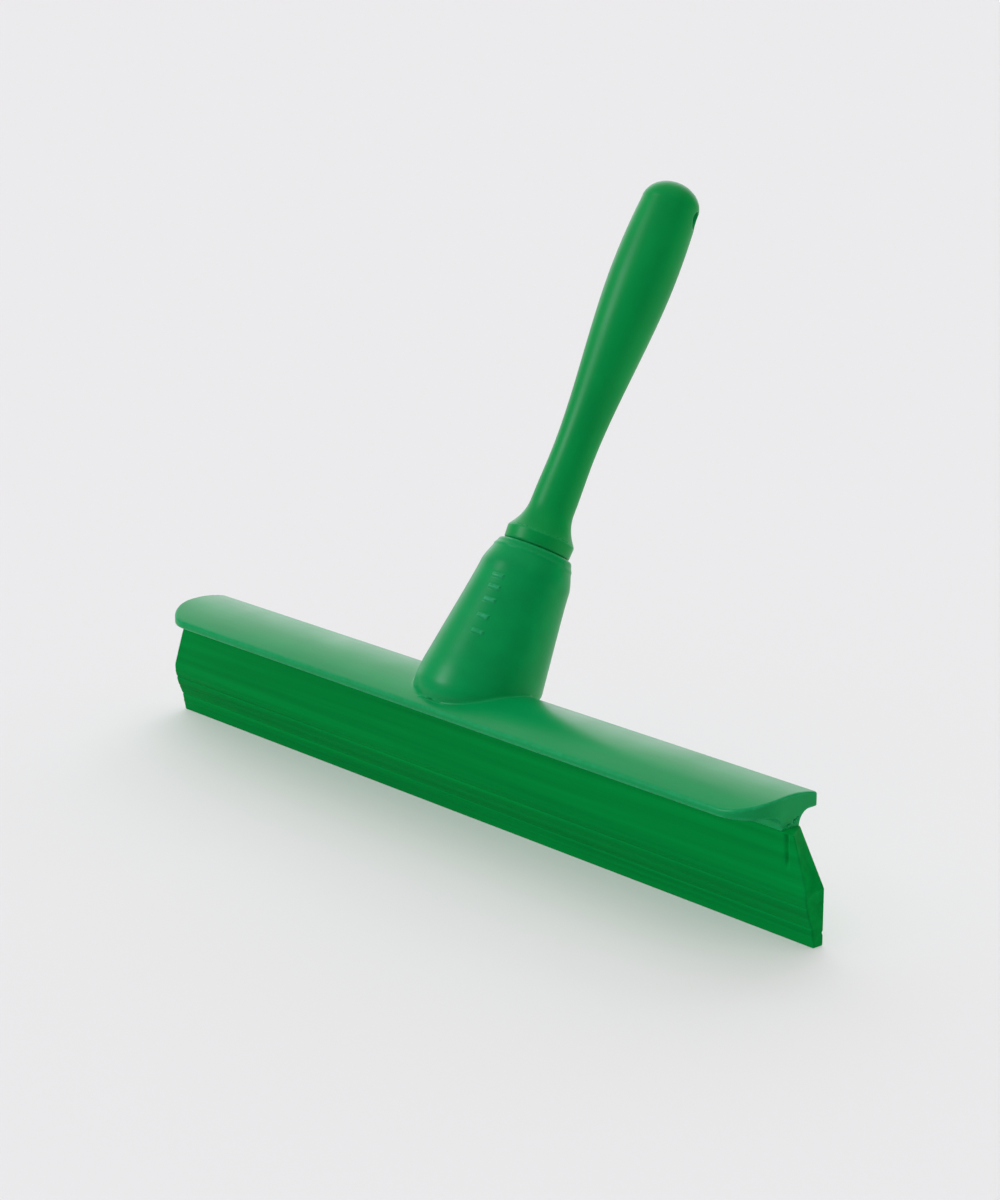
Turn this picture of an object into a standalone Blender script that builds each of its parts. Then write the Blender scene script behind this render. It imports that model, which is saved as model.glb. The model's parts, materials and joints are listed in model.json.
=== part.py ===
"""Bench squeegee with a rubber blade and a screw-in mini handle.

Run with: blender --background --python part.py
Metres, +Z up. X runs along the blade, -Y is the wiping side, +Y is the side the handle leans to.
The origin is the centre of the blade's wiping edge, at floor level.
"""

from math import cos, pi, radians, sin, sqrt, tan

import bpy
import bmesh
from mathutils import Matrix, Vector

MM = 0.001

# Blade, driving dimensions
BLADE_WIDTH = 400.0 * MM        # wiping width, the squeegee's nominal size
BLADE_TOP_Z = 44.0 * MM         # where the rubber meets the plastic head
BLADE_REAR_Y = 2.4 * MM         # flat rear face, from the head to the wiping edge
BLADE_FRONT_Y = -7.4 * MM       # front face above the belly
BELLY_Y = -8.1 * MM
BELLY_Z = 21.5 * MM             # thickest point, where the front face turns back
LIP_Y = -4.3 * MM               # front of the thin wiping lip
LIP_Z = 8.0 * MM
TIP_FRONT_Y = -2.7 * MM
FLARE_LOW_Z = 23.0 * MM         # the ends flare out from the head down to here
FLARE_TOP_HALF = 190.5 * MM     # half width at the top of the flare
FLEX_Z = 27.0 * MM              # line about which the free part of the blade bends
FLEX_ANGLE = radians(20.0)      # largest bend either way
FIT_GAP = 0.3 * MM              # clearance between neighbouring pieces

# Core rib of the head, which the rubber is moulded round
RIB_FRONT_Y = -5.2 * MM
RIB_REAR_Y = -3.6 * MM
RIB_FOOT_Z = 30.0 * MM
RIB_HALF_LENGTH = 184.0 * MM

# Head plate
HEAD_HALF_LENGTH = 186.5 * MM
PLATE_FRONT_Y = -25.0 * MM
PLATE_REAR_Y = 11.9 * MM
PLATE_CREST_Y = -3.0 * MM
PLATE_CREST_Z = 57.6 * MM
PLATE_CROWN_RADIUS = 54.0 * MM
PLATE_UNDER_Z = 49.8 * MM
FRONT_CORNER_RADIUS = 20.5 * MM
REAR_CORNER_RADIUS = 0.7 * MM
WEB_FILLET = 5.5 * MM           # plate underside to web, front and rear

# Socket and handle share one tilted axis in the plane X = 0
AXIS_TILT = radians(29.1)
AXIS_FOOT = Vector((0.0, -22.7 * MM, 0.0))   # where the axis meets the floor plane

SOCKET_RIM = 124.8 * MM         # distances along the axis, measured from AXIS_FOOT
SOCKET_PIVOT = 116.0 * MM       # the socket's outside leans a little more than its bore
SOCKET_EXTRA_LEAN = radians(1.7)
SOCKET_OUTSIDE = (              # (radius, distance along the axis) in mm, top to bottom
    (14.8, 126.0), (17.0, 120.6), (18.5, 116.6), (19.5, 112.8), (20.2, 109.0),
    (25.3, 72.0), (26.3, 62.0), (25.9, 57.0), (24.6, 52.5), (22.5, 48.5))
SOCKET_UNDER_Z = 50.4 * MM      # level underside where the socket overhangs the plate
BORE_RADIUS = 11.2 * MM
BORE_DEPTH = 42.0 * MM
BORE_CHAMFER = 1.2 * MM

# Handle, distances measured up the axis from the collar's lower face
COLLAR_SEAT = SOCKET_RIM + FIT_GAP
HANDLE_LENGTH = 168.0 * MM
COLLAR_RADIUS = 14.6 * MM
COLLAR_HEIGHT = 6.5 * MM
COLLAR_EDGE = 0.8 * MM          # bevel round the collar's upper edge
COLLAR_DRAFT = 0.3 * MM         # the collar narrows this much towards its lower face
FLARE_RADIUS = 14.0 * MM        # where the neck flares out onto the collar
FLARE_HEIGHT = 20.0 * MM
SHANK_RADIUS = 9.4 * MM
NECK_RADIUS = 8.9 * MM
NECK_HEIGHT = 43.0 * MM
GRIP_RADIUS = 14.1 * MM
GRIP_HEIGHT = 127.0 * MM
GRIP_TAPER = 2.1 * MM
DOME_HEIGHT = 11.0 * MM
STUD_RADIUS = 10.8 * MM
STUD_LENGTH = 25.0 * MM
STUD_CHAMFER = 1.5 * MM
HANG_HOLE_RADIUS = 4.3 * MM
HANG_HOLE_BELOW_TIP = 13.0 * MM
HANG_HOLE_TURN = radians(40.0)  # turn of the hanging hole about the handle's axis, from X

ROUND_STEPS = 48
GREEN_PLASTIC = (0.0, 0.245, 0.085, 1.0)
GREEN_RUBBER = (0.0, 0.2, 0.055, 1.0)


def clear_scene():
    """Remove whatever the scene starts with."""
    for old in list(bpy.data.objects):
        bpy.data.objects.remove(old, do_unlink=True)


def new_collection(name):
    """Add a collection to the scene."""
    group = bpy.data.collections.new(name)
    bpy.context.scene.collection.children.link(group)
    return group


def new_material(name, colour, roughness):
    """Make a plain moulded material."""
    material = bpy.data.materials.new(name)
    material.use_nodes = True
    shader = material.node_tree.nodes["Principled BSDF"]
    shader.inputs["Base Color"].default_value = colour
    shader.inputs["Roughness"].default_value = roughness
    shader.inputs["Metallic"].default_value = 0.0
    material.diffuse_color = colour
    return material


def arc(centre, radius, start, end, steps):
    """Points of a circular arc in a plane, angles in radians."""
    points = []
    for i in range(steps + 1):
        angle = start + (end - start) * i / steps
        points.append((centre[0] + radius * cos(angle), centre[1] + radius * sin(angle)))
    return points


def smooth_step(t):
    """Ease from 0 to 1 with level ends."""
    return t * t * (3.0 - 2.0 * t)


def outline_solid(name, outline, thickness, placement, group):
    """Extrude a flat outline both ways from its plane, as a closed mesh."""
    curve = bpy.data.curves.new(name + "_outline", "CURVE")
    curve.dimensions = "2D"
    curve.fill_mode = "BOTH"
    curve.extrude = thickness / 2.0
    spline = curve.splines.new("POLY")
    spline.points.add(len(outline) - 1)
    for point, (u, v) in zip(spline.points, outline):
        point.co = (u, v, 0.0, 1.0)
    spline.use_cyclic_u = True
    guide = bpy.data.objects.new(name + "_outline", curve)
    bpy.context.scene.collection.objects.link(guide)
    depsgraph = bpy.context.evaluated_depsgraph_get()
    mesh = bpy.data.meshes.new_from_object(guide.evaluated_get(depsgraph))
    bpy.data.objects.remove(guide, do_unlink=True)
    bm = bmesh.new()
    bm.from_mesh(mesh)
    bmesh.ops.remove_doubles(bm, verts=bm.verts, dist=1e-6)
    bmesh.ops.transform(bm, matrix=placement, verts=bm.verts)
    bmesh.ops.recalc_face_normals(bm, faces=bm.faces)
    bm.to_mesh(mesh)
    bm.free()
    mesh.name = name
    solid = bpy.data.objects.new(name, mesh)
    group.objects.link(solid)
    return solid


def section_placement():
    """Turn an outline drawn in (Y, Z) so that it extrudes along X."""
    return Matrix(((0, 0, 1, 0), (1, 0, 0, 0), (0, 1, 0, 0), (0, 0, 0, 1)))


def elevation_placement():
    """Turn an outline drawn in (X, Z) so that it extrudes along Y."""
    return Matrix(((1, 0, 0, 0), (0, 0, -1, 0), (0, 1, 0, 0), (0, 0, 0, 1)))


def turned_solid(name, profile, group):
    """Turn a profile of (radius, height) pairs, listed top to bottom, about its local Z."""
    mesh = bpy.data.meshes.new(name)
    vertices = [(radius, 0.0, height) for radius, height in profile]
    mesh.from_pydata(vertices, [(i, i + 1) for i in range(len(vertices) - 1)], [])
    solid = bpy.data.objects.new(name, mesh)
    group.objects.link(solid)
    screw = solid.modifiers.new("Turn", "SCREW")
    screw.steps = ROUND_STEPS
    screw.render_steps = ROUND_STEPS
    screw.use_merge_vertices = True
    screw.merge_threshold = 1e-5
    return solid


def put_on_axis(solid, distance):
    """Stand a solid on the tilted socket axis, its local Z up the axis."""
    up = Vector((0.0, sin(AXIS_TILT), cos(AXIS_TILT)))
    solid.location = AXIS_FOOT + up * distance
    solid.rotation_euler = (-AXIS_TILT, 0.0, 0.0)


def hide_as_cutter(solid):
    """Keep a guide out of renders and draw it as wire."""
    solid.hide_render = True
    solid.display_type = "WIRE"


def join_by(solid, operation, other):
    """Add an exact Boolean with another solid."""
    step = solid.modifiers.new(operation.title(), "BOOLEAN")
    step.operation = operation
    step.object = other
    step.solver = "EXACT"


def box_cutter(name, low, high, group):
    """A box between two corners."""
    mesh = bpy.data.meshes.new(name)
    bm = bmesh.new()
    bmesh.ops.create_cube(bm, size=1.0)
    size = [h - l for l, h in zip(low, high)]
    middle = [(h + l) / 2.0 for l, h in zip(low, high)]
    bmesh.ops.scale(bm, vec=size, verts=bm.verts)
    bmesh.ops.translate(bm, vec=middle, verts=bm.verts)
    bm.to_mesh(mesh)
    bm.free()
    box = bpy.data.objects.new(name, mesh)
    group.objects.link(box)
    hide_as_cutter(box)
    return box


def plate_top(y):
    """Height of the crowned top of the plate."""
    drop = PLATE_CROWN_RADIUS - sqrt(PLATE_CROWN_RADIUS ** 2 - (y - PLATE_CREST_Y) ** 2)
    return PLATE_CREST_Z - drop


def head_section():
    """Section of the head in (Y, Z): crowned plate, web and core rib, anticlockwise."""
    overrun = 2.0 * MM
    rear = PLATE_REAR_Y + overrun
    front = PLATE_FRONT_Y - overrun
    crown_steps = 12
    crown = []
    for i in range(crown_steps + 1):
        y = rear + (front - rear) * i / crown_steps
        crown.append((y, plate_top(y)))
    web_foot = BLADE_TOP_Z + FIT_GAP
    front_fillet = arc((BLADE_FRONT_Y - WEB_FILLET, PLATE_UNDER_Z - WEB_FILLET),
                       WEB_FILLET, pi / 2.0, 0.0, 5)
    rear_fillet = arc((BLADE_REAR_Y + WEB_FILLET, PLATE_UNDER_Z - WEB_FILLET),
                      WEB_FILLET, pi, pi / 2.0, 5)
    rib = [(RIB_FRONT_Y, web_foot), (RIB_FRONT_Y, RIB_FOOT_Z),
           (RIB_REAR_Y, RIB_FOOT_Z), (RIB_REAR_Y, web_foot)]
    outline = crown + [(front, PLATE_UNDER_Z)]
    outline += front_fillet
    outline += rib
    outline += rear_fillet
    outline += [(rear, PLATE_UNDER_Z)]
    return outline


def plate_plan():
    """Plan outline of the head in (X, Y), with large rounded front corners."""
    x = HEAD_HALF_LENGTH
    big = FRONT_CORNER_RADIUS
    small = REAR_CORNER_RADIUS
    outline = arc((x - big, PLATE_FRONT_Y + big), big, -pi / 2.0, 0.0, 10)
    outline += arc((x - small, PLATE_REAR_Y - small), small, 0.0, pi / 2.0, 3)
    outline += arc((-x + small, PLATE_REAR_Y - small), small, pi / 2.0, pi, 3)
    outline += arc((-x + big, PLATE_FRONT_Y + big), big, pi, 1.5 * pi, 10)
    return outline


def build_socket(cutters):
    """The conical socket, cut level just above the underside of the plate."""
    outside = [(radius * MM, distance * MM - SOCKET_PIVOT) for radius, distance in SOCKET_OUTSIDE]
    profile = [(0.0, outside[0][1])] + outside + [(0.0, outside[-1][1])]
    socket = turned_solid("socket_guide", profile, cutters)
    put_on_axis(socket, SOCKET_PIVOT)
    socket.rotation_euler.x -= SOCKET_EXTRA_LEAN
    hide_as_cutter(socket)
    reach = 0.1
    below = box_cutter("socket_under_cutter", (-reach, -reach, -reach), (reach, reach, SOCKET_UNDER_Z), cutters)
    join_by(socket, "DIFFERENCE", below)
    return socket


def build_bore(cutters):
    """Cutter for the blind bore and the rim, which is faced off square to the handle."""
    overrun = 5.0 * MM
    top = SOCKET_RIM + overrun
    facing_radius = 2.0 * COLLAR_RADIUS
    profile = [(0.0, top), (facing_radius, top), (facing_radius, SOCKET_RIM),
               (BORE_RADIUS + BORE_CHAMFER, SOCKET_RIM), (BORE_RADIUS, SOCKET_RIM - BORE_CHAMFER),
               (BORE_RADIUS, SOCKET_RIM - BORE_DEPTH), (0.0, SOCKET_RIM - BORE_DEPTH)]
    bore = turned_solid("bore_cutter", profile, cutters)
    put_on_axis(bore, 0.0)
    hide_as_cutter(bore)
    return bore


def build_head(group, cutters, material):
    """Moulded head: crowned plate, conical socket, web and core rib in one piece."""
    head = outline_solid("head_body", head_section(), 2.2 * HEAD_HALF_LENGTH, section_placement(), group)
    plan_height = 4.0 * PLATE_CREST_Z
    plan = outline_solid("plan_guide", plate_plan(), plan_height, Matrix.Identity(4), cutters)
    hide_as_cutter(plan)
    join_by(head, "INTERSECT", plan)
    for side in (-1.0, 1.0):
        ends = sorted((side * RIB_HALF_LENGTH, side * HEAD_HALF_LENGTH * 1.2))
        trim = box_cutter("rib_end_cutter", (ends[0], RIB_FRONT_Y - FIT_GAP, 0.0),
                          (ends[1], RIB_REAR_Y + FIT_GAP, BLADE_TOP_Z + FIT_GAP), cutters)
        join_by(head, "DIFFERENCE", trim)
    join_by(head, "UNION", build_socket(cutters))
    join_by(head, "DIFFERENCE", build_bore(cutters))
    head.data.materials.append(material)
    return head


def blade_ends():
    """Elevation of the whole blade in (X, Z): parallel below, flared in towards the head."""
    half = BLADE_WIDTH / 2.0
    return [(-half, 0.0), (half, 0.0), (half, FLARE_LOW_Z), (FLARE_TOP_HALF, BLADE_TOP_Z),
            (-FLARE_TOP_HALF, BLADE_TOP_Z), (-half, FLARE_LOW_Z)]


def blade_front(z):
    """Front face of the blade above the belly, which leans out slightly downwards."""
    t = (BLADE_TOP_Z - z) / (BLADE_TOP_Z - BELLY_Z)
    return BLADE_FRONT_Y + (BELLY_Y - BLADE_FRONT_Y) * t


def blade_root_section():
    """Fixed upper part of the blade in (Y, Z)."""
    return [(BLADE_REAR_Y, FLEX_Z), (BLADE_REAR_Y, BLADE_TOP_Z),
            (BLADE_FRONT_Y, BLADE_TOP_Z), (blade_front(FLEX_Z), FLEX_Z)]


def flex_axis():
    """The bending line, midway through the blade's thickness."""
    return (blade_front(FLEX_Z) + BLADE_REAR_Y) / 2.0, FLEX_Z - FIT_GAP


def blade_lip_section():
    """Free lower part of the blade in (Y, Z), with a ridge on the bending line."""
    ridge_y, ridge_z = flex_axis()
    front_z = ridge_z - (ridge_y - blade_front(ridge_z)) * tan(FLEX_ANGLE)
    rear_z = ridge_z - (BLADE_REAR_Y - ridge_y) * tan(FLEX_ANGLE)
    belly = arc((BELLY_Y + 6.0 * MM, BELLY_Z - 1.0 * MM), 6.0 * MM, radians(170.0), radians(195.0), 3)
    return [(BLADE_REAR_Y, 0.0), (BLADE_REAR_Y, rear_z), (ridge_y, ridge_z),
            (blade_front(front_z), front_z)] + belly + [(LIP_Y, LIP_Z), (TIP_FRONT_Y, 0.0)]


def build_blade(group, cutters, material):
    """The rubber blade, divided at its bending line into a fixed root and a free lip."""
    ends = outline_solid("blade_end_guide", blade_ends(), BLADE_WIDTH, elevation_placement(), cutters)
    hide_as_cutter(ends)
    long_enough = 1.1 * BLADE_WIDTH
    root = outline_solid("blade_root", blade_root_section(), long_enough, section_placement(), group)
    lip = outline_solid("blade_lip", blade_lip_section(), long_enough, section_placement(), group)
    slot_end = RIB_HALF_LENGTH + FIT_GAP
    slot = box_cutter("rib_slot_cutter", (-slot_end, RIB_FRONT_Y - FIT_GAP, RIB_FOOT_Z - FIT_GAP),
                      (slot_end, RIB_REAR_Y + FIT_GAP, 2.0 * BLADE_TOP_Z), cutters)
    join_by(root, "DIFFERENCE", slot)
    for piece in (root, lip):
        join_by(piece, "INTERSECT", ends)
        piece.data.materials.append(material)
    return root, lip


def grip_radius(height):
    """Radius of the handle between the collar and the domed tip."""
    if height < FLARE_HEIGHT:
        t = (FLARE_HEIGHT - height) / (FLARE_HEIGHT - COLLAR_HEIGHT)
        return SHANK_RADIUS + (FLARE_RADIUS - SHANK_RADIUS) * t ** 2.2
    if height < NECK_HEIGHT:
        t = (height - FLARE_HEIGHT) / (NECK_HEIGHT - FLARE_HEIGHT)
        return SHANK_RADIUS + (NECK_RADIUS - SHANK_RADIUS) * smooth_step(t)
    if height < GRIP_HEIGHT:
        t = (height - NECK_HEIGHT) / (GRIP_HEIGHT - NECK_HEIGHT)
        return NECK_RADIUS + (GRIP_RADIUS - NECK_RADIUS) * smooth_step(t)
    t = (height - GRIP_HEIGHT) / (HANDLE_LENGTH - GRIP_HEIGHT)
    return GRIP_RADIUS - GRIP_TAPER * t * t


def handle_profile():
    """Handle profile as (radius, height above the collar's lower face), top to bottom."""
    dome_foot = HANDLE_LENGTH - DOME_HEIGHT
    dome_radius = grip_radius(dome_foot)
    dome_steps = 8
    profile = []
    for i in range(dome_steps + 1):
        angle = pi / 2.0 * i / dome_steps
        profile.append((dome_radius * sin(angle), dome_foot + DOME_HEIGHT * cos(angle)))
    grip_steps = 20
    for i in range(1, grip_steps + 1):
        height = dome_foot + (FLARE_HEIGHT - dome_foot) * i / grip_steps
        profile.append((grip_radius(height), height))
    flare_steps = 6
    for i in range(1, flare_steps + 1):
        height = FLARE_HEIGHT + (COLLAR_HEIGHT - FLARE_HEIGHT) * i / flare_steps
        profile.append((grip_radius(height), height))
    profile += [(COLLAR_RADIUS, COLLAR_HEIGHT - COLLAR_EDGE), (COLLAR_RADIUS - COLLAR_DRAFT, 0.0),
                (STUD_RADIUS, 0.0), (STUD_RADIUS, STUD_CHAMFER - STUD_LENGTH),
                (STUD_RADIUS - STUD_CHAMFER, -STUD_LENGTH), (0.0, -STUD_LENGTH)]
    return profile


def build_handle(group, cutters, material):
    """Turned handle with a threaded stud's envelope below the collar and a hanging hole."""
    handle = turned_solid("mini_handle", handle_profile(), group)
    put_on_axis(handle, COLLAR_SEAT)
    mesh = bpy.data.meshes.new("hang_hole_cutter")
    bm = bmesh.new()
    bmesh.ops.create_cone(bm, cap_ends=True, segments=24, radius1=HANG_HOLE_RADIUS,
                          radius2=HANG_HOLE_RADIUS, depth=4.0 * GRIP_RADIUS)
    bmesh.ops.rotate(bm, cent=(0, 0, 0), matrix=Matrix.Rotation(pi / 2.0, 3, "Y"), verts=bm.verts)
    bmesh.ops.rotate(bm, cent=(0, 0, 0), matrix=Matrix.Rotation(HANG_HOLE_TURN, 3, "Z"), verts=bm.verts)
    bm.to_mesh(mesh)
    bm.free()
    hole = bpy.data.objects.new("hang_hole_cutter", mesh)
    cutters.objects.link(hole)
    put_on_axis(hole, COLLAR_SEAT + HANDLE_LENGTH - HANG_HOLE_BELOW_TIP)
    hide_as_cutter(hole)
    join_by(handle, "DIFFERENCE", hole)
    handle.data.materials.append(material)
    return handle


def main():
    """Build the squeegee."""
    clear_scene()
    group = new_collection("bench_squeegee")
    cutters = new_collection("cutters")
    plastic = new_material("green_plastic", GREEN_PLASTIC, 0.42)
    rubber = new_material("green_rubber", GREEN_RUBBER, 0.5)
    build_head(group, cutters, plastic)
    build_blade(group, cutters, rubber)
    build_handle(group, cutters, plastic)


main()
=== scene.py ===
"""Looks of the window cleaning squeegee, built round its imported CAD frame.

The head, the blade and the handle are each described as a solid by a distance-like function of
(x, y, z) in millimetres, negative inside, and meshed from it, so every edge and corner is rounded
the way a moulding's are. Objects and the camera are in metres. x runs to the right along the blade,
y to the rear, and z up from the floor.
"""

import json
from math import cos, pi, radians, sin

import bpy
import numpy as np
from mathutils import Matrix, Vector


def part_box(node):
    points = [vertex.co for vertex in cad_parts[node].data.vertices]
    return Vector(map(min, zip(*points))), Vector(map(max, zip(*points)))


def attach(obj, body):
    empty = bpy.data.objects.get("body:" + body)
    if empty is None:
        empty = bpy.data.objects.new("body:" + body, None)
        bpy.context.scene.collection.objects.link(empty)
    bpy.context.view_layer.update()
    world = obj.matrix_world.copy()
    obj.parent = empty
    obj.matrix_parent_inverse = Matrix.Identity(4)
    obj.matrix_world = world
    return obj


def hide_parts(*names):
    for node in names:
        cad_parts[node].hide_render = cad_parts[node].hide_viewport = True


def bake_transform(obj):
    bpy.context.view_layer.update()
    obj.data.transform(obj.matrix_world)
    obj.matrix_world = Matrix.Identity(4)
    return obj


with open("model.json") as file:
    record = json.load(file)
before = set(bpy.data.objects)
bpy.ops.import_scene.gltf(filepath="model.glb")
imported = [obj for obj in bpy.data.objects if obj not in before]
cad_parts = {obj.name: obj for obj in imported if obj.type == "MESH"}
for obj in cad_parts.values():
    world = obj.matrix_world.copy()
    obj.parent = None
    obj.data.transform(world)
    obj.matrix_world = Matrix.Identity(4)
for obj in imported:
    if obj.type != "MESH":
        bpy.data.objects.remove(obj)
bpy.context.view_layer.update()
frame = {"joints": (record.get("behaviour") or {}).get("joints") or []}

MM = 0.001


def cad_box_mm(node):
    """Lowest and highest corner of a CAD node, in millimetres."""
    low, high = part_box(node)
    return np.array(low) / MM, np.array(high) / MM


LIP_LOW, LIP_HIGH = cad_box_mm("blade_lip")
_, ROOT_HIGH = cad_box_mm("blade_root")
HEAD_LOW, HEAD_HIGH = cad_box_mm("head_body")

# The tilted axis that the socket and the handle share, in the plane x = 0
UNSCREW = next(joint for joint in frame["joints"] if joint["name"] == "handle_unscrew")
AXIS = np.array(UNSCREW["axis"], float)
AXIS /= np.linalg.norm(AXIS)
ACROSS = np.array([0.0, AXIS[2], -AXIS[1]])     # square to the axis, in the plane x = 0
AXIS_FOOT = np.array([0.0, -22.7, 0.0])         # where the axis meets the floor

# Head
PLATE_FRONT_Y = HEAD_LOW[1]
PLATE_REAR_Y = 11.9
PLATE_HALF_LENGTH = HEAD_HIGH[0]
PLATE_CREST_Y = -3.0
PLATE_CREST_Z = 57.6
PLATE_CROWN_RADIUS = 54.0
PLATE_UNDER_Z = 49.8
PLATE_EDGE = 0.9
FRONT_CORNER_RADIUS = 17.5
REAR_CORNER_RADIUS = 0.9
WEB_FRONT_Y = -7.42
WEB_REAR_Y = 2.42
WEB_FOOT_Z = 44.05
WEB_BURIED_Z = 51.3              # the web ends here, inside the plate
WEB_FILLET = 5.5
# Small pockets in the ends of the web: y, z and radius
POCKETS = ((-9.2, 47.4, 0.7), (-4.0, 45.6, 0.8), (-0.8, 46.7, 0.9), (1.0, 47.6, 0.7))
POCKET_DEPTH = 1.0
RIB_FRONT_Y = -5.4
RIB_REAR_Y = -3.7
RIB_FOOT_Z = 29.6
RIB_HALF_LENGTH = 184.0
RIB_EDGE = 0.4

# Socket: distances along its axis, measured from AXIS_FOOT
SOCKET_RIM = 124.8
SOCKET_PIVOT = 116.0
SOCKET_EXTRA_LEAN = radians(1.7)
SOCKET_OUTSIDE = (               # distance and radius
    (48.5, 23.8), (52.5, 26.0), (57.0, 26.8), (62.0, 26.6), (72.0, 25.3),
    (109.0, 20.3), (113.0, 19.9), (115.2, 19.4), (119.0, 18.1), (126.0, 15.6))
SOCKET_BEAD = (121.2, 0.25, 0.75)    # fine raised line under the rim: place, height, half width
SOCKET_RIM_EDGE = 1.0
SOCKET_UNDER_Z = 50.4
SOCKET_UNDER_EDGE = 1.7
SOCKET_FILLET = 1.2
BORE_RADIUS = 11.2
BORE_DEPTH = 42.0
BORE_CHAMFER = 1.2

# Thread of the bore and of the stud
THREAD_PITCH = 5.0
THREAD_DEPTH = 1.1
THREAD_STEEPNESS = 0.75
BORE_THREAD_START = 3.0          # below the socket's rim
STUD_THREAD_START = 1.5          # below the collar
THREAD_RUN_IN = 2.0              # it rises to its full depth over this distance
STUD_RUN_OUT = 4.0               # and dies away over this one at the stud's end

# Plain raised bars across the socket's front: distances along its axis and turns from X in degrees
BARS = ((106.8, -75.0), (101.6, -73.0), (95.9, -71.0), (88.4, -69.5), (81.4, -67.5))
BAR_HALF_LENGTH = 2.6
BAR_HALF_WIDTH = 0.85
BAR_HEIGHT = 0.65
BAR_PAINTED_HIGHLIGHT = 2.0                   # the bars' tops get this much painted highlight in the paler edge colour, where a full edge has 1

# Handle: heights above the collar's lower face
COLLAR_SEAT = SOCKET_RIM + 0.3   # where that face is along the socket's axis
COLLAR_DROP = 0.22               # the collar is carried this much lower, nearer the socket's rim
HANDLE_LENGTH = 167.9
COLLAR_RADIUS = 14.9
COLLAR_HEIGHT = 6.5
COLLAR_TAPER = 0.3               # its radius is this much smaller below than above
COLLAR_EDGE = 1.2
COLLAR_OVERLAP = 1.0             # the grip and the stud start this far inside the collar
FLARE_RADIUS = 14.4
FLARE_HEIGHT = 20.0
FLARE_POWER = 2.2
SHANK_RADIUS = 9.7
NECK_RADIUS = 9.2
NECK_HEIGHT = 43.0
GRIP_RADIUS = 14.1
GRIP_HEIGHT = 127.0
GRIP_TAPER = 2.4
DOME_HEIGHT = 10.4
STUD_RADIUS = 10.8
STUD_LENGTH = 25.0
STUD_EDGE = 1.0
HANG_HOLE_RADIUS = 3.9
HANG_HOLE_BELOW_TIP = 13.0
HANG_HOLE_TURN = radians(34.0)   # its right end is turned this far to the rear
HANG_HOLE_EDGE = 0.8

# Blade
BLADE_HALF_WIDTH = LIP_HIGH[0]
BLADE_REAR_Y = LIP_HIGH[1]
BLADE_TOP_Z = ROOT_HIGH[2]
BLADE_FRONT = (                  # height and y of the front face
    (0.0, -2.7), (8.0, -4.3), (14.0, -6.6), (18.0, -7.6),
    (22.0, -8.05), (28.0, -7.9), (44.0, -7.4))
MOULD_LINES = (                  # height, depth (below 0 for a ridge) and half width
    (17.0, 0.4, 0.5), (8.2, 0.35, 0.45), (12.4, 0.2, 0.4), (19.6, -0.15, 0.5), (4.4, -0.15, 0.5))
LIP_NOTCH = (5.3, 0.45, 0.7)     # groove along the rear face: height, depth, half width
LIP_EDGE = 0.35
BLADE_END_EDGE = 0.8
# The blade is narrower above this height, most at the top, and more at the rear face than in front
TAPER_LOW_Z = 23.0
TAPER_TOP_REAR_HALF = 187.0
TAPER_TOP_FRONT_HALF = 192.6
TAPER_SCALE = 0.88               # keeps the field near true distance on the tapered ends
SLOT_GAP = 0.05
TOP_OVERLAP = 0.25               # the rubber's top edge is bonded this far into the web
# Short upright crease near the right end of the front face: x and z of its low and high end
CREASE = (190.0, 29.5, 188.7, 44.0)
CREASE_HALF_WIDTH = 0.95
CREASE_DEPTH = 1.1
CREASE_FADE = 4.0                # it deepens over this height from its low end

# Paler colour on outward edges: partly wear, partly a painted highlight where rounded edges catch the
# light
RUBBER_WEAR_AND_SHEEN = 0.2                # share of the plastic's paler edge colour, wear and painted highlight alike
EDGE_REACH = 0.25
FLAT_CURVATURE = 0.3             # up to this curvature, per mm, a surface gets none of the paler edge colour
EDGE_CURVATURE = 1.1             # from this curvature on it gets the paler edge colour fully

HEAD_SPACING = (0.56, 4.0)
BLADE_SPACING = (0.4, 4.0)
BLADE_ACROSS = 0.8               # the blade's spacing in y and z, as a share of the fine one
HANDLE_SPACING = 0.5
PULL_ROUNDS = 3
PULL_REACH = 0.02
PULL_LIMIT = 0.4
LEAST_SLOPE_SQUARED = 0.2
NORMAL_REACH = 0.05

# Colours and light
HEAD_GREEN = (0.0, 0.27, 0.07)
HANDLE_GREEN = (0.0, 0.26, 0.055)
BLADE_GREEN = (0.0, 0.218, 0.037)
EDGE_WEAR_AND_SHEEN_LEAST = 0.1                 # share of the paler edge colour, wear and painted highlight, on an edge, between its patches
EDGE_WEAR_AND_SHEEN_MOST = 0.6                  # and in them
WEAR_AND_SHEEN_RED = 0.35                  # the paler edge colour's red, as a share of the fresh colour's blue
WEAR_AND_SHEEN_GREEN = 1.35                # its green and blue, as shares of the fresh colour's own
WEAR_AND_SHEEN_BLUE = 2.2
ROUGHNESS_SPREAD = 0.06
FLOW_HEIGHT = 0.0002
GRAIN_STRENGTH = 0.3
NOISE_LOW = 0.3                  # most of a noise's values lie between these two
NOISE_HIGH = 0.7
EVEN = (1.0, 1.0, 1.0)
BACKDROP_TOWARD = (-0.738, 0.657, 0.155)    # the bright wall behind the object
BACKDROP_LEVEL = 2.05
BACKDROP_TINT = (1.0, 0.92, 1.05)
BACKDROP_EDGE = 0.5              # cosine of the angle at which its light has died away
OVERHEAD_LEVEL = 0.45
HORIZON_LEVEL = 0.08
KEY_TOWARD = (-0.43, -0.75, 0.5)
KEY_STRENGTH = 1.75
KEY_SPREAD = radians(22.0)
SIDE_TOWARD = (0.8, 0.6, 0.15)
SIDE_STRENGTH = 1.0
SIDE_SPREAD = radians(30.0)
FILL_TOWARD = (0.0, 0.0, 1.0)
FILL_STRENGTH = 0.46
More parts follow.
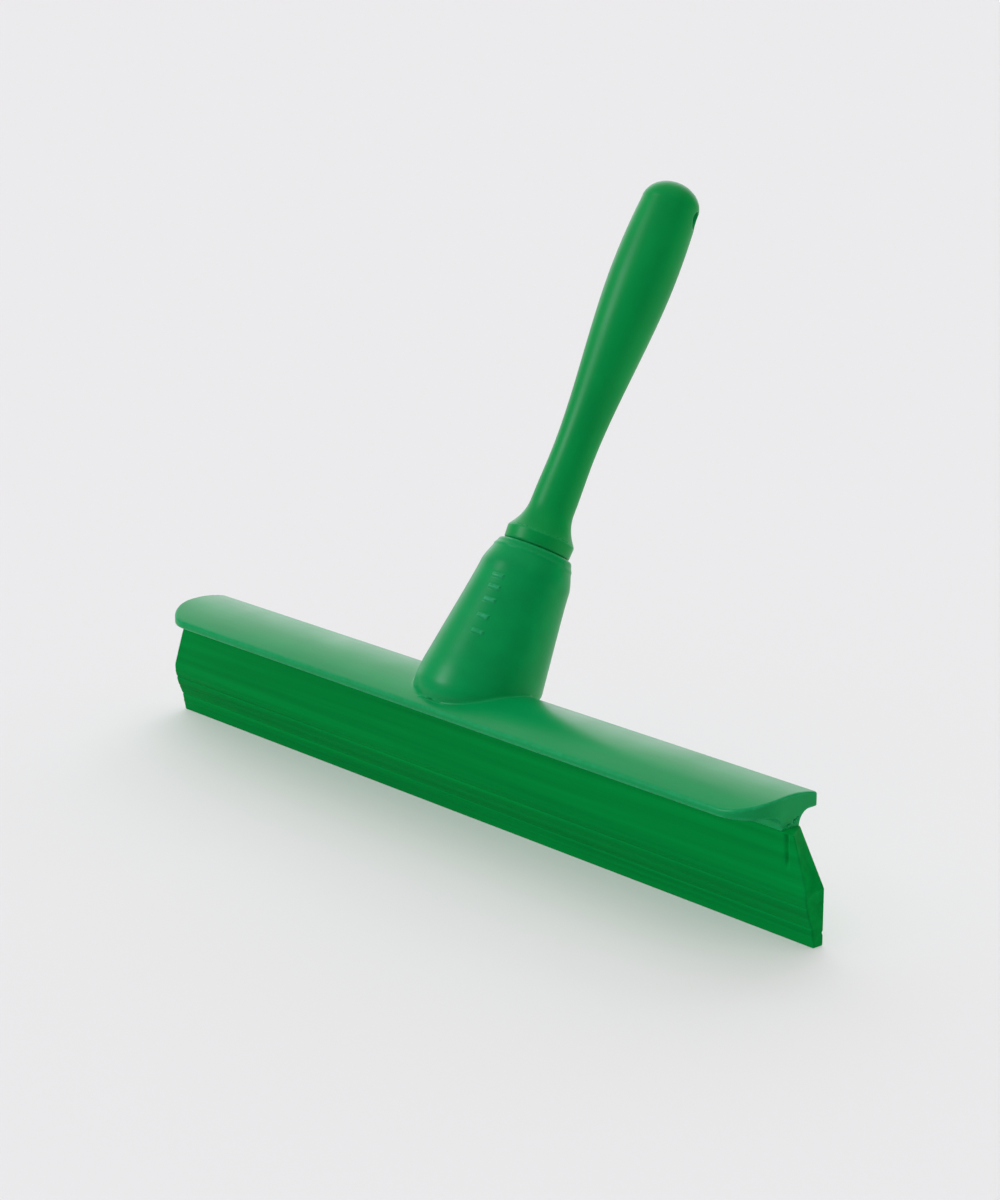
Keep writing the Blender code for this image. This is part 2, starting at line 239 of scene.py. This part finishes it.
FILL_SPREAD = radians(60.0)
COOL = (0.94, 1.0, 1.1)
WARM = (1.06, 1.02, 0.82)


def round_edge(a, b, radius):
    """Intersection of two solids with the edge between them rounded."""
    outside = np.hypot(np.maximum(a + radius, 0), np.maximum(b + radius, 0))
    return np.minimum(np.maximum(a, b), -radius) + outside


def fillet(a, b, radius):
    """Union of two solids with the corner between them filled to a radius."""
    inside = np.hypot(np.maximum(radius - a, 0), np.maximum(radius - b, 0))
    return np.maximum(np.minimum(a, b), radius) - inside


def band(value, low, high):
    """Solid between two parallel planes."""
    return np.maximum(low - value, value - high)


def smooth_curve(points, where):
    """Value of a smooth curve through a few (position, value) points, without overshoot."""
    at = np.array([p[0] for p in points], float)
    value = np.array([p[1] for p in points], float)
    step = np.diff(at)
    slope = np.diff(value) / step
    tangent = np.concatenate([[slope[0]], np.zeros(len(at) - 2), [slope[-1]]])
    before = slope[:-1]
    after = slope[1:]
    same_way = before * after > 0
    total = np.where(same_way, before + after, 1.0)
    tangent[1:-1] = np.where(same_way, 2.0 * before * after / total, 0.0)
    where = np.asarray(where, float)
    span = np.clip(np.searchsorted(at, where) - 1, 0, len(step) - 1)
    t = np.clip((where - at[span]) / step[span], 0.0, 1.0)
    h = step[span]
    return ((1 + 2 * t) * (1 - t) ** 2 * value[span] + t * (1 - t) ** 2 * h * tangent[span]
            + t * t * (3 - 2 * t) * value[span + 1] + t * t * (t - 1) * h * tangent[span + 1])


def smooth_step(t):
    """Ease from 0 to 1 with level ends."""
    t = np.clip(t, 0.0, 1.0)
    return t * t * (3.0 - 2.0 * t)


def axis_coordinates(x, y, z, lean=0.0, pivot=0.0):
    """Places sideways, across and along the tilted axis, which may lean more about a pivot."""
    along = (y - AXIS_FOOT[1]) * AXIS[1] + z * AXIS[2] - pivot
    across = (y - AXIS_FOOT[1]) * ACROSS[1] + z * ACROSS[2]
    turned_along = along * cos(lean) + across * sin(lean)
    turned_across = across * cos(lean) - along * sin(lean)
    return x, turned_across, turned_along + pivot


def thread(x, y, along, depth):
    """Relief of a rounded screw thread, from 0 to depth, at points round and along an axis."""
    turn = np.arctan2(y, x) - 2.0 * pi * along / THREAD_PITCH
    return depth * smooth_step(0.5 + THREAD_STEEPNESS * np.cos(turn))


def plan_outline(x, y):
    """Plan of the head plate: a rectangle with large front corners and nearly sharp rear ones."""
    middle = (PLATE_FRONT_Y + PLATE_REAR_Y) / 2.0
    corner = np.where(y < middle, FRONT_CORNER_RADIUS, REAR_CORNER_RADIUS)
    along = np.abs(x) - PLATE_HALF_LENGTH + corner
    out = np.where(y < middle, PLATE_FRONT_Y + corner - y, y - PLATE_REAR_Y + corner)
    outside = np.hypot(np.maximum(along, 0), np.maximum(out, 0))
    return outside + np.minimum(np.maximum(along, out), 0) - corner


def plate(x, y, z):
    """Crowned plate and the web under it, with its concave fillets."""
    crown_centre_z = PLATE_CREST_Z - PLATE_CROWN_RADIUS
    crown = np.hypot(y - PLATE_CREST_Y, z - crown_centre_z) - PLATE_CROWN_RADIUS
    deck = np.maximum(crown, PLATE_UNDER_Z - z)
    web = np.maximum(band(y, WEB_FRONT_Y, WEB_REAR_Y), band(z, WEB_FOOT_Z, WEB_BURIED_Z))
    solid = round_edge(fillet(deck, web, WEB_FILLET), plan_outline(x, y), PLATE_EDGE)
    for pocket_y, pocket_z, radius in POCKETS:
        hole = np.hypot(y - pocket_y, z - pocket_z) - radius
        pocket = np.maximum(hole, PLATE_HALF_LENGTH - POCKET_DEPTH - np.abs(x))
        solid = np.maximum(solid, -pocket)
    return solid


def rib(x, y, z):
    """Core rib that the rubber is moulded round."""
    side = round_edge(band(y, RIB_FRONT_Y, RIB_REAR_Y), band(z, RIB_FOOT_Z, PLATE_UNDER_Z), RIB_EDGE)
    return round_edge(side, np.abs(x) - RIB_HALF_LENGTH, RIB_EDGE)


def bars(turn, along, radius):
    """Height of the raised bars on the socket."""
    height = 0.0
    for bar_along, bar_turn in BARS:
        past_end = np.abs(turn - radians(bar_turn)) * radius - BAR_HALF_LENGTH
        past_side = np.abs(along - bar_along) - BAR_HALF_WIDTH
        height = height + BAR_HEIGHT * smooth_step(0.5 - np.maximum(past_end, past_side))
    return height


def socket(x, y, z):
    """Outside of the conical socket."""
    side, across, along = axis_coordinates(x, y, z, SOCKET_EXTRA_LEAN, SOCKET_PIVOT)
    bead_along, bead_height, bead_half_width = SOCKET_BEAD
    bead = bead_height * np.exp(-((along - bead_along) / bead_half_width) ** 2)
    radius = smooth_curve(SOCKET_OUTSIDE, along) + bead
    cone = np.hypot(side, across) - radius - bars(np.arctan2(across, side), along, radius)
    cone = np.maximum(cone, SOCKET_OUTSIDE[0][0] - along)
    square_along = axis_coordinates(x, y, z)[2]
    cone = round_edge(cone, square_along - SOCKET_RIM, SOCKET_RIM_EDGE)
    return round_edge(cone, SOCKET_UNDER_Z - z, SOCKET_UNDER_EDGE)


def bore(x, y, z):
    """Threaded bore of the socket."""
    side, across, along = axis_coordinates(x, y, z)
    mouth = np.maximum(along - (SOCKET_RIM - BORE_CHAMFER), 0.0)
    run_in = smooth_step((SOCKET_RIM - BORE_THREAD_START - along) / THREAD_RUN_IN)
    radius = BORE_RADIUS + np.maximum(mouth, thread(side, across, along, THREAD_DEPTH) * run_in)
    return np.maximum(np.hypot(side, across) - radius, SOCKET_RIM - BORE_DEPTH - along)


def head(x, y, z):
    """The whole moulded head."""
    body = fillet(plate(x, y, z), socket(x, y, z), SOCKET_FILLET)
    return np.maximum(np.minimum(body, rib(x, y, z)), -bore(x, y, z))


def grip_radius(height):
    """Radius of the handle between the collar and the domed tip."""
    down = np.clip((FLARE_HEIGHT - height) / (FLARE_HEIGHT - COLLAR_HEIGHT), 0.0, 1.0)
    flare = (FLARE_RADIUS - SHANK_RADIUS) * down ** FLARE_POWER
    to_neck = smooth_step((height - FLARE_HEIGHT) / (NECK_HEIGHT - FLARE_HEIGHT))
    neck = (NECK_RADIUS - SHANK_RADIUS) * to_neck
    to_grip = smooth_step((height - NECK_HEIGHT) / (GRIP_HEIGHT - NECK_HEIGHT))
    swell = (GRIP_RADIUS - NECK_RADIUS) * to_grip
    up = np.clip((height - GRIP_HEIGHT) / (HANDLE_LENGTH - GRIP_HEIGHT), 0.0, 1.0)
    return SHANK_RADIUS + flare + neck + swell - GRIP_TAPER * up * up


def handle(x, y, z):
    """The handle in its own frame: z is the height above the collar's lower face."""
    around = np.hypot(x, y)
    dome_foot = HANDLE_LENGTH - DOME_HEIGHT
    dome_radius = grip_radius(dome_foot)
    dome_share = np.hypot(around / dome_radius, np.maximum(z - dome_foot, 0) / DOME_HEIGHT)
    dome = (dome_share - 1.0) * DOME_HEIGHT
    grip = np.where(z > dome_foot, dome, around - grip_radius(z))
    grip = np.maximum(grip, COLLAR_HEIGHT - COLLAR_OVERLAP - z)
    collar_radius = COLLAR_RADIUS - COLLAR_TAPER * (1.0 - z / COLLAR_HEIGHT)
    collar = round_edge(around - collar_radius, band(z, -COLLAR_DROP, COLLAR_HEIGHT), COLLAR_EDGE)
    run_in = smooth_step((-z - STUD_THREAD_START) / THREAD_RUN_IN)
    run_out = smooth_step((STUD_LENGTH + z) / STUD_RUN_OUT)
    ridge = thread(x, y, z, THREAD_DEPTH) * (run_in * run_out)
    stud_radius = STUD_RADIUS - THREAD_DEPTH + ridge
    stud = round_edge(around - stud_radius, band(z, -STUD_LENGTH, COLLAR_OVERLAP), STUD_EDGE)
    above_hole = z - (HANDLE_LENGTH - HANG_HOLE_BELOW_TIP)
    beside_hole = y * cos(HANG_HOLE_TURN) - x * sin(HANG_HOLE_TURN)
    hole = np.hypot(above_hole, beside_hole)
    solid = np.minimum(np.minimum(grip, collar), stud)
    return round_edge(solid, HANG_HOLE_RADIUS - hole, HANG_HOLE_EDGE)


def blade_front(z):
    """Front face of the rubber blade, with the fine lines left by its mould."""
    y = smooth_curve(BLADE_FRONT, z)
    for height, depth, half_width in MOULD_LINES:
        y = y + depth * np.exp(-((z - height) / half_width) ** 2)
    return y


def crease(x, z):
    """Depth of the short upright crease near the right end of the blade's front face."""
    low_x, low_z, high_x, high_z = CREASE
    line_x = low_x + (high_x - low_x) * (z - low_z) / (high_z - low_z)
    across = np.exp(-((x - line_x) / CREASE_HALF_WIDTH) ** 2)
    return CREASE_DEPTH * across * smooth_step((z - low_z) / CREASE_FADE) * smooth_step(high_z - z)


def blade(x, y, z):
    """The rubber blade with its slot for the head's rib."""
    notch_z, notch_depth, notch_half_width = LIP_NOTCH
    notch = notch_depth * np.exp(-((z - notch_z) / notch_half_width) ** 4)
    section = np.maximum(blade_front(z) + crease(x, z) - y, y - BLADE_REAR_Y + notch)
    section = round_edge(section, -z, LIP_EDGE)
    section = np.maximum(section, z - BLADE_TOP_Z - TOP_OVERLAP)
    frontness = (BLADE_REAR_Y - y) / (BLADE_REAR_Y - WEB_FRONT_Y)
    top_half = TAPER_TOP_REAR_HALF + (TAPER_TOP_FRONT_HALF - TAPER_TOP_REAR_HALF) * frontness
    taper = np.maximum(z - TAPER_LOW_Z, 0.0) / (BLADE_TOP_Z - TAPER_LOW_Z)
    half = BLADE_HALF_WIDTH + (top_half - BLADE_HALF_WIDTH) * taper
    body = round_edge(section, (np.abs(x) - half) * TAPER_SCALE, BLADE_END_EDGE)
    slot = np.maximum(band(y, RIB_FRONT_Y - SLOT_GAP, RIB_REAR_Y + SLOT_GAP), RIB_FOOT_Z - SLOT_GAP - z)
    return np.maximum(body, -np.maximum(slot, np.abs(x) - RIB_HALF_LENGTH - SLOT_GAP))


def graded(*spans):
    """Grid positions from spans of (start, end, spacing)."""
    values = []
    for start, end, spacing in spans:
        count = max(1, round((end - start) / spacing))
        values.append(np.linspace(start, end, count + 1)[:-1])
    values.append([spans[-1][1]])
    return np.concatenate(values)


def along_blade(near, corner, end, fine, coarse):
    """Grid positions in x: fine up to near and from corner to end, on both sides, else coarse."""
    return graded((-end, -corner, fine), (-corner, -near, coarse), (-near, near, fine),
                  (near, corner, coarse), (corner, end, fine))


def crossing_points(value, grid, axis):
    """Grid edges along one axis that the surface crosses, with the crossing points."""
    low = [slice(None)] * 3
    high = [slice(None)] * 3
    low[axis] = slice(None, -1)
    high[axis] = slice(1, None)
    a = value[tuple(low)]
    b = value[tuple(high)]
    index = np.array(np.nonzero((a < 0) != (b < 0)))
    start = a[tuple(index)]
    end = b[tuple(index)]
    points = np.array([grid[k][index[k]] for k in range(3)], float)
    points[axis] += (grid[axis][index[axis] + 1] - grid[axis][index[axis]]) * start / (start - end)
    return index, points, start < 0


def surface_net(field, grid):
    """Quads over the zero surface of a field, one vertex for each grid cell it passes through."""
    value = field(*np.meshgrid(*grid, indexing="ij"))
    cells = tuple(n - 1 for n in value.shape)
    total = np.zeros((3, cells[0] * cells[1] * cells[2]))
    count = np.zeros(total.shape[1])
    quads = []
    for axis in range(3):
        index, points, leaving = crossing_points(value, grid, axis)
        first, second = [k for k in range(3) if k != axis]
        ring = []
        for back_first, back_second in ((0, 0), (1, 0), (1, 1), (0, 1)):
            cell = index.copy()
            cell[first] -= back_first
            cell[second] -= back_second
            flat = np.ravel_multi_index(cell, cells)
            ring.append(flat)
            count += np.bincount(flat, minlength=len(count))
            for k in range(3):
                total[k] += np.bincount(flat, points[k], minlength=len(count))
        ring = np.array(ring).T
        flip = leaving if axis == 1 else ~leaving
        ring[flip] = ring[flip][:, ::-1]
        quads.append(ring)
    used = np.nonzero(count)[0]
    number = np.full(len(count), -1)
    number[used] = np.arange(len(used))
    return (total[:, used] / count[used]).T, number[np.concatenate(quads)]


def slope_at(field, points, reach):
    """Gradient of a field at points."""
    parts = []
    for k in range(3):
        offset = np.zeros(3)
        offset[k] = reach
        parts.append(field(*(points + offset).T) - field(*(points - offset).T))
    return np.array(parts).T / (2.0 * reach)


def edge_strength(field, points):
    """How sharply the surface turns outwards: 0 on flat and hollow places, 1 on an edge."""
    offsets = np.vstack([EDGE_REACH * np.eye(3), -EDGE_REACH * np.eye(3)])
    around = -len(offsets) * field(*points.T)
    for offset in offsets:
        around = around + field(*(points + offset).T)
    curvature = around / EDGE_REACH ** 2
    return np.clip((curvature - FLAT_CURVATURE) / (EDGE_CURVATURE - FLAT_CURVATURE), 0.0, 1.0)


def solid_mesh(field, grid):
    """Points on a field's surface, the quads between them, their normals and edge strengths."""
    points, quads = surface_net(field, grid)
    for _ in range(PULL_ROUNDS):
        slope = slope_at(field, points, PULL_REACH)
        steep = np.maximum((slope ** 2).sum(1), LEAST_SLOPE_SQUARED)
        step = (field(*points.T) / steep)[:, None] * slope
        points = points - np.clip(step, -PULL_LIMIT, PULL_LIMIT)
    normals = slope_at(field, points, NORMAL_REACH)
    normals /= np.maximum(np.linalg.norm(normals, axis=1), 1e-9)[:, None]
    return points, quads, normals, edge_strength(field, points)


def new_piece(name, points, quads, normals, edges, material):
    """Object in metres from points in millimetres."""
    mesh = bpy.data.meshes.new(name)
    mesh.from_pydata((points * MM).tolist(), [], quads.tolist())
    mesh.shade_smooth()
    mesh.normals_split_custom_set_from_vertices(normals.tolist())
    mesh.attributes.new("edges", "FLOAT", "POINT").data.foreach_set("value", edges.astype(np.float32))
    mesh.materials.append(material)
    piece = bpy.data.objects.new(name, mesh)
    bpy.context.scene.collection.objects.link(piece)
    return piece


def build_head(material):
    """The head, replacing its CAD solid."""
    margin = 1.5
    top_margin = 2.0
    near = 38.0
    corner = PLATE_HALF_LENGTH - FRONT_CORNER_RADIUS - 2.0
    end = PLATE_HALF_LENGTH + margin
    fine, coarse = HEAD_SPACING
    xs = along_blade(near, corner, end, fine, coarse)
    ys = graded((HEAD_LOW[1] - margin, HEAD_HIGH[1] + top_margin, fine))
    zs = graded((HEAD_LOW[2] - margin, HEAD_HIGH[2] + top_margin, fine))
    points, quads, normals, edges = solid_mesh(head, (xs, ys, zs))
    # The raised bars' tops get the paler edge colour in full, a painted highlight standing in for their
    # glints
    side, across, along = axis_coordinates(*points.T, SOCKET_EXTRA_LEAN, SOCKET_PIVOT)
    raised = bars(np.arctan2(across, side), along, np.hypot(side, across)) / BAR_HEIGHT
    edges = np.maximum(edges, BAR_PAINTED_HIGHLIGHT * np.clip(raised, 0.0, 1.0))
    piece = new_piece("squeegee_head", points, quads, normals, edges, material)
    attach(piece, "head")
    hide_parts("head_body")


def build_blade(material):
    """The rubber blade, one piece."""
    margin = 1.0
    near = 8.0
    corner = RIB_HALF_LENGTH - 4.0
    end = BLADE_HALF_WIDTH + margin
    fine, coarse = BLADE_SPACING
    xs = along_blade(near, corner, end, fine, coarse)
    ys = graded((LIP_LOW[1] - margin, BLADE_REAR_Y + margin, fine * BLADE_ACROSS))
    zs = graded((-margin, BLADE_TOP_Z + margin, fine * BLADE_ACROSS))
    points, quads, normals, edges = solid_mesh(blade, (xs, ys, zs))
    piece = new_piece("rubber_blade", points, quads, normals, RUBBER_WEAR_AND_SHEEN * edges, material)
    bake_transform(piece)
    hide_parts("blade_root", "blade_lip")


def build_handle(material):
    """The handle, made upright and then laid along the socket's axis."""
    margin = 1.5
    fine = HANDLE_SPACING
    side = COLLAR_RADIUS + margin
    across = graded((-side, side, fine))
    heights = graded((-STUD_LENGTH - margin, HANDLE_LENGTH + margin, fine))
    points, quads, normals, edges = solid_mesh(handle, (across, across, heights))
    turn = np.array([[1.0, 0.0, 0.0], ACROSS, AXIS])
    points = points @ turn + AXIS_FOOT + AXIS * COLLAR_SEAT
    piece = new_piece("screw_handle", points, quads, normals @ turn, edges, material)
    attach(piece, "handle")
    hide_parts("mini_handle")


def link_noise(material, place, scale, detail, stretch):
    """Noise over the object, optionally drawn out along one of its axes."""
    nodes = material.node_tree.nodes
    links = material.node_tree.links
    spread = nodes.new("ShaderNodeMapping")
    spread.inputs["Scale"].default_value = stretch
    links.new(place.outputs["Object"], spread.inputs["Vector"])
    noise = nodes.new("ShaderNodeTexNoise")
    noise.inputs["Scale"].default_value = scale
    noise.inputs["Detail"].default_value = detail
    links.new(spread.outputs["Vector"], noise.inputs["Vector"])
    return noise.outputs["Fac"]


def link_range(material, value, low, high, target):
    """Stretch a noise's usual values onto a range and feed them to a socket."""
    nodes = material.node_tree.nodes
    links = material.node_tree.links
    mapped = nodes.new("ShaderNodeMapRange")
    mapped.inputs["From Min"].default_value = NOISE_LOW
    mapped.inputs["From Max"].default_value = NOISE_HIGH
    mapped.inputs["To Min"].default_value = low
    mapped.inputs["To Max"].default_value = high
    links.new(value, mapped.inputs["Value"])
    links.new(mapped.outputs["Result"], target)


def link_bump(material, value, strength, height, normal):
    """Raise the surface by a value, on top of an earlier bump if there is one."""
    nodes = material.node_tree.nodes
    links = material.node_tree.links
    bump = nodes.new("ShaderNodeBump")
    bump.inputs["Strength"].default_value = strength
    bump.inputs["Distance"].default_value = height
    links.new(value, bump.inputs["Height"])
    if normal is not None:
        links.new(normal, bump.inputs["Normal"])
    return bump.outputs["Normal"]


def moulded(name, colour, roughness, specular, streak, streak_scale, contrast, flow_strength,
            grain):
    """Moulded material: mottled colour, uneven gloss, flow lines, fine grain and paler edges, partly
    wear and partly a painted highlight.
    """
    material = bpy.data.materials.new(name)
    material.use_nodes = True
    nodes = material.node_tree.nodes
    links = material.node_tree.links
    shader = nodes["Principled BSDF"]
    shader.inputs["Metallic"].default_value = 0.0
    shader.inputs["IOR"].default_value = 1.5
    shader.inputs["Specular IOR Level"].default_value = specular
    place = nodes.new("ShaderNodeTexCoord")

    mottle = link_noise(material, place, scale=streak_scale, detail=4.0, stretch=streak)
    tint = nodes.new("ShaderNodeValToRGB")
    darker, lighter = tint.color_ramp.elements
    darker.position = NOISE_LOW
    darker.color = (*[(1.0 - contrast) * c for c in colour], 1.0)
    lighter.position = NOISE_HIGH
    lighter.color = (*[(1.0 + contrast) * c for c in colour], 1.0)
    links.new(mottle, tint.inputs["Fac"])

    # Paler colour on outward edges, in patches: partly wear, partly a painted highlight where edges
    # catch the light
    edges = nodes.new("ShaderNodeAttribute")
    edges.attribute_name = "edges"
    wear_and_sheen_share = nodes.new("ShaderNodeMath")
    wear_and_sheen_share.operation = "MULTIPLY"
    links.new(edges.outputs["Fac"], wear_and_sheen_share.inputs[0])
    patches = link_noise(material, place, scale=350.0, detail=3.0, stretch=EVEN)
    link_range(material, patches, EDGE_WEAR_AND_SHEEN_LEAST, EDGE_WEAR_AND_SHEEN_MOST, wear_and_sheen_share.inputs[1])
    wear_and_sheen_colour = nodes.new("ShaderNodeMix")
    wear_and_sheen_colour.data_type = "RGBA"
    _, green, blue = colour
    wear_and_sheen_colour.inputs["B"].default_value = (WEAR_AND_SHEEN_RED * blue, WEAR_AND_SHEEN_GREEN * green, WEAR_AND_SHEEN_BLUE * blue, 1.0)
    links.new(wear_and_sheen_share.outputs["Value"], wear_and_sheen_colour.inputs["Factor"])
    links.new(tint.outputs["Color"], wear_and_sheen_colour.inputs["A"])
    links.new(wear_and_sheen_colour.outputs["Result"], shader.inputs["Base Color"])

    gloss = link_noise(material, place, scale=25.0, detail=5.0, stretch=EVEN)
    link_range(material, gloss, roughness - ROUGHNESS_SPREAD, roughness + ROUGHNESS_SPREAD,
               shader.inputs["Roughness"])
    flow = link_noise(material, place, scale=260.0, detail=3.0, stretch=streak)
    skin = link_noise(material, place, scale=900.0, detail=5.0, stretch=EVEN)
    normal = link_bump(material, flow, flow_strength, FLOW_HEIGHT, None)
    normal = link_bump(material, skin, GRAIN_STRENGTH, grain, normal)
    links.new(normal, shader.inputs["Normal"])
    return material


def build_stage():
    """Pale floor that runs past the top of the frame."""
    mesh = bpy.data.meshes.new("floor")
    reach = 12.0
    corners = [(-reach, -reach, 0), (reach, -reach, 0), (reach, reach, 0), (-reach, reach, 0)]
    mesh.from_pydata(corners, [], [(0, 1, 2, 3)])
    floor = bpy.data.objects.new("floor", mesh)
    bpy.context.scene.collection.objects.link(floor)
    material = bpy.data.materials.new("floor_paper")
    material.use_nodes = True
    shader = material.node_tree.nodes["Principled BSDF"]
    shader.inputs["Base Color"].default_value = (0.8, 0.8, 0.8, 1.0)
    shader.inputs["Roughness"].default_value = 0.9
    shader.inputs["Specular IOR Level"].default_value = 0.0
    mesh.materials.append(material)


def build_surroundings():
    """Soft studio: bright overhead and behind the object, dark in front of it."""
    world = bpy.data.worlds.new("studio")
    bpy.context.scene.world = world
    world.use_nodes = True
    nodes = world.node_tree.nodes
    links = world.node_tree.links
    place = nodes.new("ShaderNodeTexCoord")
    total = nodes.new("ShaderNodeVectorMath")
    total.operation = "ADD"
    lobes = (((0.0, 0.0, 1.0), 0.0, HORIZON_LEVEL, OVERHEAD_LEVEL, EVEN),
             (BACKDROP_TOWARD, BACKDROP_EDGE, 0.0, BACKDROP_LEVEL, BACKDROP_TINT))
    for slot, (toward, start, low, high, tint) in enumerate(lobes):
        facing = nodes.new("ShaderNodeVectorMath")
        facing.operation = "DOT_PRODUCT"
        facing.inputs[1].default_value = toward
        links.new(place.outputs["Generated"], facing.inputs[0])
        level = nodes.new("ShaderNodeMapRange")
        level.interpolation_type = "SMOOTHSTEP"
        level.inputs["From Min"].default_value = start
        level.inputs["To Min"].default_value = low
        level.inputs["To Max"].default_value = high
        links.new(facing.outputs["Value"], level.inputs["Value"])
        lobe = nodes.new("ShaderNodeVectorMath")
        lobe.operation = "SCALE"
        lobe.inputs[0].default_value = tint
        links.new(level.outputs["Result"], lobe.inputs["Scale"])
        links.new(lobe.outputs["Vector"], total.inputs[slot])
    links.new(total.outputs["Vector"], nodes["Background"].inputs["Color"])


def soft_sun(name, toward, strength, spread, tint, glint):
    """A distant soft light from a direction, which casts no shadow and may give no glint."""
    sun = bpy.data.lights.new(name, "SUN")
    sun.energy = strength
    sun.color = tint
    sun.angle = spread
    sun.use_shadow = False
    lamp = bpy.data.objects.new(name, sun)
    lamp.rotation_euler = Vector(toward).to_track_quat("Z", "Y").to_euler()
    lamp.visible_glossy = glint
    bpy.context.scene.collection.objects.link(lamp)


def build_light():
    """Surroundings, a low key light from the left, a weaker one from the right, a fill from above."""
    build_surroundings()
    soft_sun("soft_key", KEY_TOWARD, KEY_STRENGTH, KEY_SPREAD, COOL, glint=True)
    soft_sun("soft_side", SIDE_TOWARD, SIDE_STRENGTH, SIDE_SPREAD, WARM, glint=False)
    soft_sun("soft_fill", FILL_TOWARD, FILL_STRENGTH, FILL_SPREAD, WARM, glint=False)
    bpy.context.scene.view_settings.view_transform = "Standard"


def build_camera():
    """Camera at a long focal length, without roll, looking down a little from the front right."""
    azimuth = radians(48.30)
    elevation = radians(15.51)
    distance = 1.2582
    target = Vector((0.0, 0.0177, 0.0907))
    lens = bpy.data.cameras.new("camera")
    lens.sensor_fit = "HORIZONTAL"
    lens.sensor_width = 36.0
    lens.lens = 108.0
    camera = bpy.data.objects.new("camera", lens)
    bpy.context.scene.collection.objects.link(camera)
    back = Vector((sin(azimuth) * cos(elevation), -cos(azimuth) * cos(elevation), sin(elevation)))
    camera.location = target + back * distance
    camera.rotation_euler = (pi / 2.0 - elevation, 0.0, azimuth)
    bpy.context.scene.camera = camera


def main():
    """Build everything."""
    head_green = moulded(
        "head_green", HEAD_GREEN, roughness=0.34, specular=0.115, streak=(0.15, 1.0, 1.0),
        streak_scale=110.0, contrast=0.06, flow_strength=0.05, grain=0.00001)
    handle_green = moulded(
        "handle_green", HANDLE_GREEN, roughness=0.38, specular=0.11, streak=(1.0, 0.3, 0.3),
        streak_scale=110.0, contrast=0.06, flow_strength=0.05, grain=0.00001)
    blade_green = moulded(
        "blade_green", BLADE_GREEN, roughness=0.5, specular=0.01, streak=(0.015, 1.0, 1.0),
        streak_scale=260.0, contrast=0.16, flow_strength=0.3, grain=0.00005)
    build_head(head_green)
    build_blade(blade_green)
    build_handle(handle_green)
    build_stage()
    build_light()
    build_camera()
    bpy.context.view_layer.update()


main()
